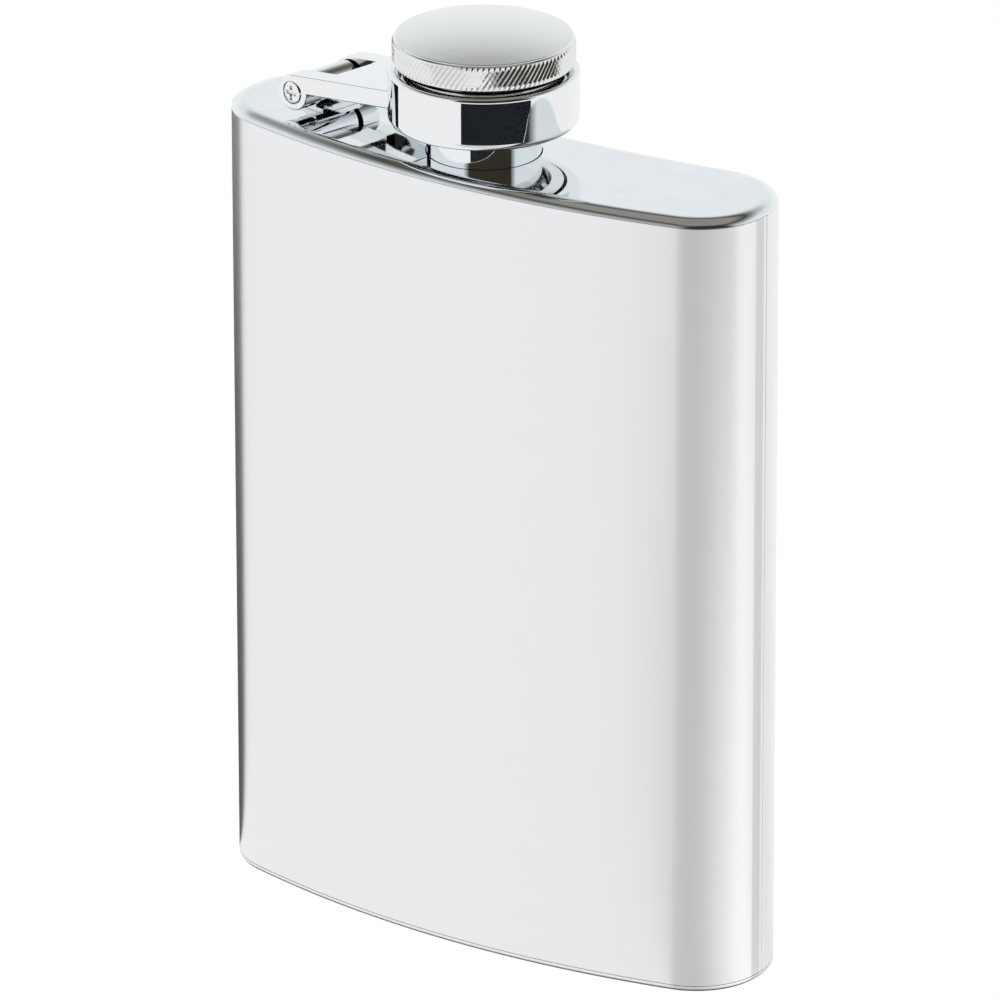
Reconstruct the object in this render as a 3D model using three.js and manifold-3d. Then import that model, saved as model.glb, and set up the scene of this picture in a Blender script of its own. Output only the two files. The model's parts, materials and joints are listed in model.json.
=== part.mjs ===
// A pocket hip flask in stainless steel with a captive screw cap.
// Millimetres, +Z up. The origin is on the neck's axis, at the level of the underside.
// The width runs along X, the hinge is on the -X side, and the convex front faces -Y.

import * as THREE from 'three';
import { mergeVertices } from 'three/addons/utils/BufferGeometryUtils.js';
import Module from 'manifold-3d';

const wasm = await Module();
wasm.setup();

// ---------- driving dimensions ----------

const gap = 0.3; // clearance between pieces that are joined or touch
const overshoot = 1; // how far a cutting tool runs past what it cuts

// body: a kidney section with a convex front and a concave back
const bodyWidth = 78;
const bodyThickness = 21; // at the middle of the width
const bodyHeight = 102.8; // underside to the top of the top plate
const neckOffset = 0.7; // the neck stands this far from the middle of the width, towards the hinge
const frontRadius = 130; // of the convex front
const backRadius = 168; // of the concave back
const backCornerRadius = 9.8;
const endFlat = 0.68; // straight stretch across each end, where the shells meet
const sheet = 0.6; // wall of the two pressed shells
const topPlateThickness = 1.2;
const shoulderHeight = 1; // rounded edge of the top plate
const shoulderInset = 1.7;
const basePlateThickness = 1.2;
const baseEdgeHeight = 0.9; // rounded edge of the base plate
const baseEdgeInset = 0.9;

// neck
const neckHeight = 9.6; // above the plate
const neckBoreRadius = 5.3;
const neckWall = 1.15; // under the thread
const neckCollarHeight = 3.4; // the plain collar above the plate
const collarStep = 0.2; // how far the collar stands out past the thread
const neckFlangeClearance = 0.75; // between the shells and the ring welded under the plate
const neckFlangeThickness = 0.8;
const threadDepth = 0.5;
const threadPitch = 2.4;
const threadRidges = 2; // annular ridges that stand for the turns

// cap sleeve: the threaded skirt that passes through the ring
const threadClearance = 0.8; // radial, so the arm can swing with the cap low
const sleeveSkirtRelief = 0.45; // the plain skirt is bored wider than the thread
const sleeveWall = 1.65; // skirt wall
const sleeveProud = 0.3; // how far the skirt hangs below the ring
const sleeveThreadLength = 5.4;
const sleeveTopThickness = 0.9;
const sleeveFlangeWidth = 0.75;
const sleeveFlangeThickness = 0.9;
const gasketThickness = 1.2;

// retaining clip: a split ring that rides in the sleeve's groove and the ring's recess
const clipThickness = 0.8;
const clipWidth = 1;
const clipSplit = 2.4; // opening of the split
const grooveDepth = 0.55;
const capLift = 3.6; // how far the cap rises as it unscrews

// cap head
const headWall = 0.45; // beside the sleeve's flange
const headGap = 0.7; // ring top to the underside of the head
const headBandHeight = 3.2; // the knurled band
const headDomeHeight = 1.1;
const headEdgeHeight = 0.25; // small chamfer above the band
const headEdgeInset = 0.35;
const headLipWidth = 0.35; // turned-in lip under the sleeve's flange
const headLipHeight = 0.35;

// captive ring and arm
const ringWall = 1; // beside the recess
const ringLipRun = 0.4; // running gap between sleeve and ring
const ringLowerLip = 0.95;
const ringUpperLip = 1;
const ringEdge = 0.8; // rounded outer edges
const armWidth = 12.4;
const armDepth = 2.3; // side wall height, and top face above the pivot
const armWall = 1.3; // thickness of the side walls
const armTop = 1.2; // thickness of the top face
const armRise = THREE.MathUtils.degToRad(5.9); // slope of the arm up to the ring
const armSlot = 3; // gap between the knuckle and the arm's top face

// hinge
const hingeReach = 25.3; // from the neck's axis to the pivot, along the width
const hingeTurn = THREE.MathUtils.degToRad(12); // the pin's angle from the Y axis, seen from above
const knuckleRadius = 1.95; // rolled barrel of the bracket
const knuckleLength = 6.2;
const earProud = 0.35; // how far the arm's ears stand out past the knuckle
const earClearance = 0.7; // under the ears
const footThickness = 0.6;
const footReach = 2.3; // from the pivot to each end of the bracket's foot
const screwRadius = 0.9;
const screwHeadRadius = 1.45;
const screwHeadThickness = 0.8;
const screwHeadProud = 0.2;
const crossWidth = 0.45; // cross recess in the screw's head
const crossLength = 1.9;
const crossDepth = 0.45;

const cornerSegments = 6; // per arc of the body's outline
const roundSegments = 40;
const smallSegments = 20;

// ---------- worked out from the driving dimensions ----------

const halfWidth = bodyWidth / 2;
const halfThickness = bodyThickness / 2;
const plateTop = bodyHeight;
const frontCentreY = frontRadius - halfThickness;
const backCentreY = backRadius + halfThickness;
const backCornerX = halfWidth - backCornerRadius;
const backCornerY = backCentreY - Math.sqrt((backRadius + backCornerRadius) ** 2 - backCornerX ** 2);
const frontCornerY = backCornerY - endFlat;
// the corner that touches both the end of the body and the front arc
const frontCornerRadius = (frontRadius ** 2 - halfWidth ** 2 - (frontCentreY - frontCornerY) ** 2)
  / (2 * (frontRadius - halfWidth));
const frontCornerX = halfWidth - frontCornerRadius;
const seamY = (frontCornerY + backCornerY) / 2;

const threadRootRadius = neckBoreRadius + neckWall;
const threadCrestRadius = threadRootRadius + threadDepth;
const neckRadius = threadCrestRadius + collarStep;
const neckFlangeRadius = halfThickness - sheet - neckFlangeClearance;

const sleeveThreadRadius = threadCrestRadius + threadClearance;
const sleeveSkirtRadius = sleeveThreadRadius + sleeveSkirtRelief;
const sleeveRadius = sleeveSkirtRadius + sleeveWall;
const gasketBottom = plateTop + neckHeight + gap;
const sleeveCeiling = gasketBottom + gasketThickness + gap;
const sleeveTop = sleeveCeiling + sleeveTopThickness + sleeveFlangeThickness;
const sleeveFlangeRadius = sleeveRadius + sleeveFlangeWidth;

const headLipTop = sleeveTop - sleeveFlangeThickness - gap;
const headBottom = headLipTop - headLipHeight;
const headBandTop = headBottom + headBandHeight;
const headPocketRadius = sleeveFlangeRadius + gap;
const headRadius = headPocketRadius + headWall;

const ringTop = headBottom - headGap;
const recessCeiling = ringTop - ringUpperLip;
const clipBottom = recessCeiling - gap - capLift - clipThickness;
const recessFloor = clipBottom - gap; // the sleeve's groove starts at the same height
const ringFloor = recessFloor - ringLowerLip;
const sleeveBottom = ringFloor - sleeveProud;
const clipInner = sleeveRadius - grooveDepth + gap;
const clipOuter = clipInner + clipWidth;

const ringBore = sleeveRadius + ringLipRun;
const ringRecess = clipOuter + gap;
const ringRadius = ringRecess + ringWall;

const earRadius = knuckleRadius + earProud;
const pivotHeight = earRadius + earClearance; // above the plate
const pivotZ = plateTop + pivotHeight;
const hingeX = -hingeReach;
const hingeY = centreLineY(hingeX);
const ringDistance = Math.hypot(hingeX, hingeY);
const armHeading = Math.atan2(-hingeY, -hingeX);

// the middle of the body's thickness at a place along the width
function centreLineY(x) {
  const front = frontCentreY - Math.sqrt(frontRadius ** 2 - (x - neckOffset) ** 2);
  const back = backCentreY - Math.sqrt(backRadius ** 2 - (x - neckOffset) ** 2);
  return (front + back) / 2;
}

// ---------- geometry helpers ----------

function toSolid(geometry) {
  const bare = geometry.clone();
  bare.deleteAttribute('normal');
  bare.deleteAttribute('uv');
  const merged = mergeVertices(bare, 1e-5);
  return new wasm.Manifold(new wasm.Mesh({
    numProp: 3,
    vertProperties: new Float32Array(merged.attributes.position.array),
    triVerts: new Uint32Array(merged.index.array),
  }));
}

function toGeometry(solid) {
  const mesh = solid.getMesh();
  const geometry = new THREE.BufferGeometry();
  geometry.setAttribute('position', new THREE.BufferAttribute(new Float32Array(mesh.vertProperties), 3));
  geometry.setIndex(new THREE.BufferAttribute(new Uint32Array(mesh.triVerts), 1));
  geometry.computeVertexNormals();
  return geometry;
}

function block(x0, x1, y0, y1, z0, z1) {
  const box = new THREE.BoxGeometry(x1 - x0, y1 - y0, z1 - z0);
  return toSolid(box.translate((x0 + x1) / 2, (y0 + y1) / 2, (z0 + z1) / 2));
}

// a solid of revolution about Z from [radius, height] pairs
function turned(profile, segments = roundSegments) {
  const points = profile.map(([radius, height]) => new THREE.Vector2(radius, height));
  return new THREE.LatheGeometry(points, segments).rotateX(Math.PI / 2);
}

// a round bar along Y
function barAlongY(radius, y0, y1, segments = smallSegments) {
  const bar = new THREE.CylinderGeometry(radius, radius, y1 - y0, segments);
  return toSolid(bar.translate(0, (y0 + y1) / 2, 0));
}

function postAlongZ(radius, z0, z1, segments = roundSegments) {
  const post = new THREE.CylinderGeometry(radius, radius, z1 - z0, segments).rotateX(Math.PI / 2);
  return toSolid(post.translate(0, 0, (z0 + z1) / 2));
}

// manifold takes a column-major 4 x 4 matrix, as three.js stores it
function moved(solid, matrix) {
  return solid.transform(matrix.elements);
}

// the kidney outline, seen from above, drawn in from the outside by inset
function bodyOutline(inset) {
  const front = frontCornerRadius - inset;
  const back = backCornerRadius - inset;
  const frontJoin = Math.atan2(frontCornerY - frontCentreY, frontCornerX);
  const backJoin = Math.atan2(backCentreY - backCornerY, -backCornerX);
  const shape = new THREE.Shape();
  shape.absarc(neckOffset - frontCornerX, frontCornerY, front, Math.PI, Math.PI - frontJoin, false);
  shape.absarc(neckOffset, frontCentreY, frontRadius - inset, -Math.PI - frontJoin, frontJoin, false);
  shape.absarc(neckOffset + frontCornerX, frontCornerY, front, frontJoin, 0, false);
  shape.absarc(neckOffset + backCornerX, backCornerY, back, 0, backJoin, false);
  shape.absarc(neckOffset, backCentreY, backRadius + inset, backJoin - Math.PI, -backJoin, true);
  shape.absarc(neckOffset - backCornerX, backCornerY, back, Math.PI - backJoin, Math.PI, false);
  shape.closePath();
  return shape;
}

function extrudedOutline(inset, z0, z1) {
  const options = { depth: z1 - z0, bevelEnabled: false, curveSegments: cornerSegments };
  return toSolid(new THREE.ExtrudeGeometry(bodyOutline(inset), options).translate(0, 0, z0));
}

// a plate of the body's outline with both edges rounded, its middle at height 0
function roundedPlate(edgeHeight, edgeInset, flat) {
  const options = {
    depth: flat,
    curveSegments: cornerSegments,
    bevelThickness: edgeHeight,
    bevelSize: edgeInset,
    bevelOffset: -edgeInset,
    bevelSegments: 4,
  };
  return toSolid(new THREE.ExtrudeGeometry(bodyOutline(0), options));
}

// everything in the body's plan between two heights or on one side of the seam
function slab(y0, y1, z0, z1) {
  return block(-bodyWidth, bodyWidth, y0, y1, z0, z1);
}

// ---------- frames ----------

// the hinge frame has its origin at the pivot and its Y axis along the pin
const hingeFrame = new THREE.Matrix4()
  .makeTranslation(hingeX, hingeY, pivotZ)
  .multiply(new THREE.Matrix4().makeRotationZ(-hingeTurn));

// the arm frame has its X axis along the arm, rising to the ring
const armFrame = new THREE.Matrix4()
  .makeTranslation(hingeX, hingeY, pivotZ)
  .multiply(new THREE.Matrix4().makeRotationZ(armHeading))
  .multiply(new THREE.Matrix4().makeRotationY(-armRise));

// ---------- body ----------

const shellBottom = basePlateThickness + gap;
const shellTop = plateTop - topPlateThickness - gap;

function shell(y0, y1) {
  const tube = extrudedOutline(0, shellBottom, shellTop)
    .subtract(extrudedOutline(sheet, shellBottom - overshoot, shellTop + overshoot));
  return toGeometry(tube.intersect(slab(y0, y1, 0, bodyHeight)));
}

function frontShell() {
  return shell(-bodyWidth, seamY - gap / 2);
}

function backShell() {
  return shell(seamY + gap / 2, bodyWidth);
}

function topPlate() {
  const bottom = plateTop - topPlateThickness;
  const blank = roundedPlate(shoulderHeight, shoulderInset, topPlateThickness);
  const placed = blank.translate(0, 0, plateTop - topPlateThickness - shoulderHeight);
  const plate = placed.intersect(slab(-bodyWidth, bodyWidth, bottom, bodyHeight + overshoot));
  return toGeometry(plate.subtract(postAlongZ(neckRadius + gap, bottom - overshoot, plateTop + overshoot)));
}

function basePlate() {
  const blank = roundedPlate(baseEdgeHeight, baseEdgeInset, basePlateThickness);
  const placed = blank.translate(0, 0, baseEdgeHeight);
  return toGeometry(placed.intersect(slab(-bodyWidth, bodyWidth, -overshoot, basePlateThickness)));
}

// ---------- neck ----------

function neckTube() {
  const flangeTop = plateTop - topPlateThickness - gap;
  const flangeBottom = flangeTop - neckFlangeThickness;
  const top = plateTop + neckHeight;
  const profile = [
    [neckBoreRadius, flangeBottom],
    [neckFlangeRadius, flangeBottom],
    [neckFlangeRadius, flangeTop],
    [neckRadius, flangeTop],
    [neckRadius, plateTop + neckCollarHeight],
    [threadRootRadius, plateTop + neckCollarHeight],
  ];
  for (let ridge = threadRidges - 1; ridge >= 0; ridge -= 1) {
    const middle = top - threadDepth - (ridge + 0.5) * threadPitch * 0.75;
    profile.push(
      [threadRootRadius, middle - threadDepth],
      [threadCrestRadius, middle],
      [threadRootRadius, middle + threadDepth],
    );
  }
  profile.push([threadRootRadius, top], [neckBoreRadius, top], [neckBoreRadius, flangeBottom]);
  return turned(profile);
}

// ---------- hinge ----------

function hingeBracket() {
  const half = knuckleLength / 2;
  const floor = -pivotHeight + gap;
  const foot = block(-footReach, footReach, -half, half, floor, floor + footThickness);
  const web = block(-knuckleRadius / 2, knuckleRadius / 2, -half, half, floor, 0);
  const bore = barAlongY(screwRadius + gap, -half - overshoot, half + overshoot);
  const whole = foot.add(web).add(barAlongY(knuckleRadius, -half, half)).subtract(bore);
  return toGeometry(moved(whole, hingeFrame));
}

function hingeScrew() {
  const face = -armWidth / 2;
  const headFront = face - screwHeadProud;
  const head = barAlongY(screwHeadRadius, headFront, headFront + screwHeadThickness);
  const shank = barAlongY(screwRadius, headFront + screwHeadThickness / 2, armWidth / 2 - gap);
  const arm = crossLength / 2;
  const half = crossWidth / 2;
  const back = headFront + crossDepth;
  const cross = block(-arm, arm, headFront - overshoot, back, -half, half)
    .add(block(-half, half, headFront - overshoot, back, -arm, arm));
  return toGeometry(moved(head.add(shank).subtract(cross), hingeFrame));
}

// ---------- captive arm and ring ----------

function captiveRing() {
  return toSolid(turned([
    [ringBore, ringFloor],
    [ringRadius - ringEdge, ringFloor],
    [ringRadius, ringFloor + ringEdge],
    [ringRadius, ringTop - ringEdge],
    [ringRadius - ringEdge, ringTop],
    [ringBore, ringTop],
    [ringBore, recessCeiling],
    [ringRecess, recessCeiling],
    [ringRecess, recessFloor],
    [ringBore, recessFloor],
    [ringBore, ringFloor],
  ]));
}

function captiveArm() {
  const half = armWidth / 2;
  const earInner = knuckleLength / 2 + gap;
  const reach = ringDistance - ringRecess;
  const topStart = knuckleRadius + armSlot;
  const face = -half;

  // the bar: a top face and two side walls, with thick roots at the ears
  let bar = block(topStart, reach, -half, half, armDepth - armTop, armDepth);
  for (const side of [-1, 1]) {
    const outer = side * half;
    const wallInner = side * (half - armWall);
    const rootInner = side * earInner;
    bar = bar.add(block(0, reach, Math.min(outer, wallInner), Math.max(outer, wallInner), 0, armDepth));
    bar = bar.add(block(0, topStart + armTop, Math.min(outer, rootInner), Math.max(outer, rootInner), 0, armDepth));
  }
  bar = moved(bar, armFrame);

  // the two eyes round the screw, and the room for the bracket's knuckle
  let eyes = barAlongY(earRadius, -half, -earInner).add(barAlongY(earRadius, earInner, half));
  eyes = moved(eyes, hingeFrame);
  const knuckleRoom = moved(barAlongY(earRadius + gap, -earInner, earInner), hingeFrame);
  const pinHole = barAlongY(screwRadius + gap, -armWidth, armWidth);
  const headHole = barAlongY(screwHeadRadius + gap, face - armWidth, face - screwHeadProud + screwHeadThickness + gap);
  const holes = moved(pinHole.add(headHole), hingeFrame);

  const bore = postAlongZ(ringRecess, ringFloor - overshoot, ringTop + overshoot);
  const arm = bar.subtract(knuckleRoom).add(eyes).subtract(holes).subtract(bore);
  return toGeometry(arm.add(captiveRing()));
}

// ---------- cap ----------

function capSleeve() {
  const threadBottom = sleeveCeiling - sleeveThreadLength;
  const grooveRadius = sleeveRadius - grooveDepth;
  const grooveTop = clipBottom + clipThickness + gap;
  return turned([
    [sleeveSkirtRadius, sleeveBottom],
    [sleeveRadius, sleeveBottom],
    [sleeveRadius, recessFloor],
    [grooveRadius, recessFloor],
    [grooveRadius, grooveTop],
    [sleeveRadius, grooveTop],
    [sleeveRadius, sleeveTop - sleeveFlangeThickness],
    [sleeveFlangeRadius, sleeveTop - sleeveFlangeThickness],
    [sleeveFlangeRadius, sleeveTop],
    [0, sleeveTop],
    [0, sleeveCeiling],
    [sleeveThreadRadius, sleeveCeiling],
    [sleeveThreadRadius, threadBottom],
    [sleeveSkirtRadius, threadBottom - sleeveSkirtRelief],
    [sleeveSkirtRadius, sleeveBottom],
  ]);
}

function capHead() {
  const pocketTop = sleeveTop + gap;
  const profile = [
    [0, pocketTop],
    [headPocketRadius, pocketTop],
    [headPocketRadius, headLipTop],
    [headPocketRadius - headLipWidth, headLipTop],
    [headPocketRadius - headLipWidth, headBottom],
    [headRadius, headBottom],
    [headRadius, headBandTop],
    [headRadius - headEdgeInset, headBandTop + headEdgeHeight],
  ];
  const domeRadius = headRadius - headEdgeInset;
  const domeBase = headBandTop + headEdgeHeight;
  const domeSteps = 4;
  for (let step = 1; step < domeSteps; step += 1) {
    const share = 1 - step / domeSteps;
    profile.push([domeRadius * share, domeBase + headDomeHeight * (1 - share ** 2)]);
  }
  profile.push([0, domeBase + headDomeHeight]);
  return turned(profile);
}

function capGasket() {
  const radius = sleeveThreadRadius - gap;
  return turned([
    [0, gasketBottom],
    [radius, gasketBottom],
    [radius, gasketBottom + gasketThickness],
    [0, gasketBottom + gasketThickness],
  ]);
}

function retainingClip() {
  const ring = toSolid(turned([
    [clipInner, clipBottom],
    [clipOuter, clipBottom],
    [clipOuter, clipBottom + clipThickness],
    [clipInner, clipBottom + clipThickness],
    [clipInner, clipBottom],
  ]));
  const half = clipSplit / 2;
  return toGeometry(ring.subtract(block(0, clipOuter + overshoot, -half, half, clipBottom - overshoot, ringTop)));
}

// ---------- materials ----------

function metal(name, color, roughness) {
  return new THREE.MeshStandardMaterial({ name, color, roughness, metalness: 1 });
}

const brushedSteel = metal('brushed steel', 0xd6d7da, 0.32);
const polishedSteel = metal('polished steel', 0xdfe3e6, 0.08);
const chromedZinc = metal('chromed zinc', 0xe6e8ea, 0.06);
const turnedSteel = metal('turned steel', 0xd9dbdc, 0.18);
const springSteel = metal('spring steel', 0x8f9195, 0.35);
const silicone = new THREE.MeshStandardMaterial({
  name: 'silicone',
  color: 0xe9e6de,
  roughness: 0.6,
  metalness: 0,
});

// ---------- assembly ----------

function piece(name, geometry, material) {
  const mesh = new THREE.Mesh(geometry, material);
  mesh.name = name;
  return mesh;
}

const flask = new THREE.Group();
flask.add(
  piece('front_shell', frontShell(), brushedSteel),
  piece('back_shell', backShell(), brushedSteel),
  piece('top_plate', topPlate(), polishedSteel),
  piece('base_plate', basePlate(), brushedSteel),
  piece('neck_tube', neckTube(), polishedSteel),
  piece('hinge_bracket', hingeBracket(), chromedZinc),
);

const arm = new THREE.Group();
arm.add(
  piece('captive_arm', captiveArm(), chromedZinc),
  piece('hinge_screw', hingeScrew(), chromedZinc),
);

const cap = new THREE.Group();
cap.add(
  piece('retaining_clip', retainingClip(), springSteel),
  piece('cap_sleeve', capSleeve(), turnedSteel),
  piece('cap_head', capHead(), turnedSteel),
  piece('cap_gasket', capGasket(), silicone),
);

arm.add(cap);
flask.add(arm);

export default flask;
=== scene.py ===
import json
import math

import bpy
from mathutils import Matrix, Vector


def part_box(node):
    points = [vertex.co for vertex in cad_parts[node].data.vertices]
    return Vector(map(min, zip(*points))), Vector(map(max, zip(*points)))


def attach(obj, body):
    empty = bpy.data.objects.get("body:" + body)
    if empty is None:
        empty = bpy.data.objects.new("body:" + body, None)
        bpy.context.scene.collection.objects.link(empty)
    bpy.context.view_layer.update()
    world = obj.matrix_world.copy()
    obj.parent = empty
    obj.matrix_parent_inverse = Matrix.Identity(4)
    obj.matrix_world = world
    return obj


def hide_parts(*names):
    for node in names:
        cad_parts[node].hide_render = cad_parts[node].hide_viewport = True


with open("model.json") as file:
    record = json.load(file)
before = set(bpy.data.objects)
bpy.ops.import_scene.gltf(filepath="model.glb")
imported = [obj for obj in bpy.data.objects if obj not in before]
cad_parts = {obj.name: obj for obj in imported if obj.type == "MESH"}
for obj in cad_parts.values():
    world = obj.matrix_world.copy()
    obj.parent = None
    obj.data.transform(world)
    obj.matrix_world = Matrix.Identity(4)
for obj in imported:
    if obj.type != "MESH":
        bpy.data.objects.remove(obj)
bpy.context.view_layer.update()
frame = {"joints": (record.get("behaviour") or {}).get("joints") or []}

mm = 0.001
weldDistance = 0.002 * mm  # points nearer than this are one point
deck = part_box("top_plate")[1].z / mm  # height of the plate that the neck stands on
shellLow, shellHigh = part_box("front_shell")
halfWidth = (shellHigh.x - shellLow.x) / 2 / mm
middleX = (shellHigh.x + shellLow.x) / 2 / mm  # the neck's axis is a little off the middle of the body


def clearSelection():
    bpy.ops.object.select_all(action="DESELECT")


def makeActive(piece):
    clearSelection()
    piece.select_set(True)
    bpy.context.view_layer.objects.active = piece


def editAll(piece):
    makeActive(piece)
    bpy.ops.object.mode_set(mode="EDIT")
    bpy.ops.mesh.select_mode(type="VERT")
    bpy.ops.mesh.select_all(action="SELECT")


def selectFaces(piece, test):  # in edit mode; test gets a face's middle and normal, in mm
    bpy.ops.mesh.select_mode(type="FACE")
    bpy.ops.mesh.select_all(action="DESELECT")
    bpy.ops.object.mode_set(mode="OBJECT")
    for face in piece.data.polygons:
        face.select = test(face.center / mm, face.normal)
    bpy.ops.object.mode_set(mode="EDIT")


def selectPoints(piece, test):
    bpy.ops.mesh.select_mode(type="VERT")
    bpy.ops.mesh.select_all(action="DESELECT")
    bpy.ops.object.mode_set(mode="OBJECT")
    for point in piece.data.vertices:
        point.select = test(point.co / mm)
    bpy.ops.object.mode_set(mode="EDIT")


def startLine(name, x, y, z):  # a mesh of one point, left in edit mode
    clearSelection()
    bpy.ops.mesh.primitive_plane_add(size=1 * mm, location=(x * mm, y * mm, z * mm))
    piece = bpy.context.object
    piece.name = piece.data.name = name
    bpy.ops.object.transform_apply(location=True, rotation=True, scale=True)
    bpy.ops.object.mode_set(mode="EDIT")
    bpy.ops.mesh.select_mode(type="VERT")
    bpy.ops.mesh.select_all(action="SELECT")
    bpy.ops.mesh.merge(type="CENTER")
    return piece


def extrudeBy(x, y, z):
    bpy.ops.mesh.extrude_region_move(TRANSFORM_OT_translate={"value": (x * mm, y * mm, z * mm)})


def spinArc(x, y, degrees, steps):  # carries the line round a corner, anticlockwise from above
    bpy.ops.mesh.spin(
        steps=steps, angle=-math.radians(degrees), center=(x * mm, y * mm, 0), axis=(0, 0, 1)
    )


def drawLine(name, points):
    piece = startLine(name, *points[0])
    for before, after in zip(points, points[1:]):
        extrudeBy(*(b - a for a, b in zip(before, after)))
    return piece


def closeUp():  # merges doubles, turns the faces outwards and leaves edit mode
    bpy.ops.mesh.select_all(action="SELECT")
    bpy.ops.mesh.remove_doubles(threshold=weldDistance)
    bpy.ops.mesh.dissolve_degenerate(threshold=weldDistance)
    bpy.ops.mesh.select_all(action="SELECT")
    bpy.ops.mesh.normals_make_consistent(inside=False)
    bpy.ops.object.mode_set(mode="OBJECT")


def turnPiece(name, profile, steps=128):  # a solid of revolution from (radius, height) pairs
    piece = drawLine(name, [(radius, 0, height) for radius, height in profile])
    bpy.ops.mesh.select_all(action="SELECT")
    bpy.ops.mesh.spin(steps=steps, angle=math.tau, center=(0, 0, 0), axis=(0, 0, 1))
    closeUp()
    return piece


def makeBlock(name, x0, x1, y0, y1, z0, z1):
    clearSelection()
    middle = ((x0 + x1) / 2 * mm, (y0 + y1) / 2 * mm, (z0 + z1) / 2 * mm)
    bpy.ops.mesh.primitive_cube_add(size=1, location=middle)
    block = bpy.context.object
    block.name = block.data.name = name
    block.scale = ((x1 - x0) * mm, (y1 - y0) * mm, (z1 - z0) * mm)
    bpy.ops.object.transform_apply(location=True, rotation=True, scale=True)
    return block


def makeRod(name, radius, z0, z1, steps=64):
    clearSelection()
    bpy.ops.mesh.primitive_cylinder_add(
        vertices=steps, radius=radius * mm, depth=(z1 - z0) * mm, location=(0, 0, (z0 + z1) / 2 * mm)
    )
    rod = bpy.context.object
    rod.name = rod.data.name = name
    bpy.ops.object.transform_apply(location=True, rotation=True, scale=True)
    return rod


def rodAlongY(name, radius, y0, y1, steps=64):
    rod = makeRod(name, radius, -y1, -y0, steps)
    return placeBy(rod, Matrix.Rotation(math.radians(90), 4, "X"))


def placeBy(piece, matrix):  # puts a piece in a frame, with its place in its mesh
    makeActive(piece)
    piece.matrix_world = matrix
    bpy.ops.object.transform_apply(location=True, rotation=True, scale=True)
    return piece


def applyModifier(piece, kind, **settings):
    makeActive(piece)
    modifier = piece.modifiers.new(kind.title(), kind)
    for name, value in settings.items():
        setattr(modifier, name, value)
    bpy.ops.object.modifier_apply(modifier=modifier.name)


def combine(piece, tool, operation):
    applyModifier(piece, "BOOLEAN", object=tool, operation=operation, solver="EXACT")
    bpy.data.objects.remove(tool, do_unlink=True)
    editAll(piece)
    closeUp()


def cutWith(piece, tool):
    combine(piece, tool, "DIFFERENCE")


def joinWith(piece, other):
    combine(piece, other, "UNION")


def roundEdges(piece, width, segments=3, degrees=30):
    applyModifier(
        piece,
        "BEVEL",
        width=width * mm,
        segments=segments,
        limit_method="ANGLE",
        angle_limit=math.radians(degrees),
        harden_normals=False,
        use_clamp_overlap=True,
    )


def finishPiece(piece, material, bodyName, node, smooth=32, flats=True):
    makeActive(piece)
    bpy.ops.object.shade_smooth_by_angle(angle=math.radians(smooth))
    if flats:  # the flats keep flat reflections right up to their rounded edges
        applyModifier(piece, "WEIGHTED_NORMAL", weight=100, keep_sharp=True)
    piece.data.materials.clear()
    piece.data.materials.append(material)
    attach(piece, bodyName)
    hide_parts(node)


def fromHex(code):  # sRGB hex to linear colour
    channels = [int(code[place:place + 2], 16) / 255 for place in (1, 3, 5)]
    linear = [c / 12.92 if c <= 0.04045 else ((c + 0.055) / 1.055) ** 2.4 for c in channels]
    return (*linear, 1)


def addNode(tree, kind, settings=None, values=None, links=None):
    node = tree.nodes.new(kind)
    for name, value in (settings or {}).items():
        setattr(node, name, value)
    for name, value in (values or {}).items():
        node.inputs[name].default_value = value
    for name, source in (links or {}).items():
        tree.links.new(source, node.inputs[name])
    return node


def newMaterial(name, values):
    material = bpy.data.materials.new(name)
    material.use_nodes = True
    tree = material.node_tree
    shader = tree.nodes["Principled BSDF"]
    for socket, value in values.items():
        shader.inputs[socket].default_value = value
    return material, tree, shader


def perMm(x, y, z):  # a mapping scale from the size of one feature along each axis, in mm
    return (1 / (x * mm), 1 / (y * mm), 1 / (z * mm))


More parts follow.
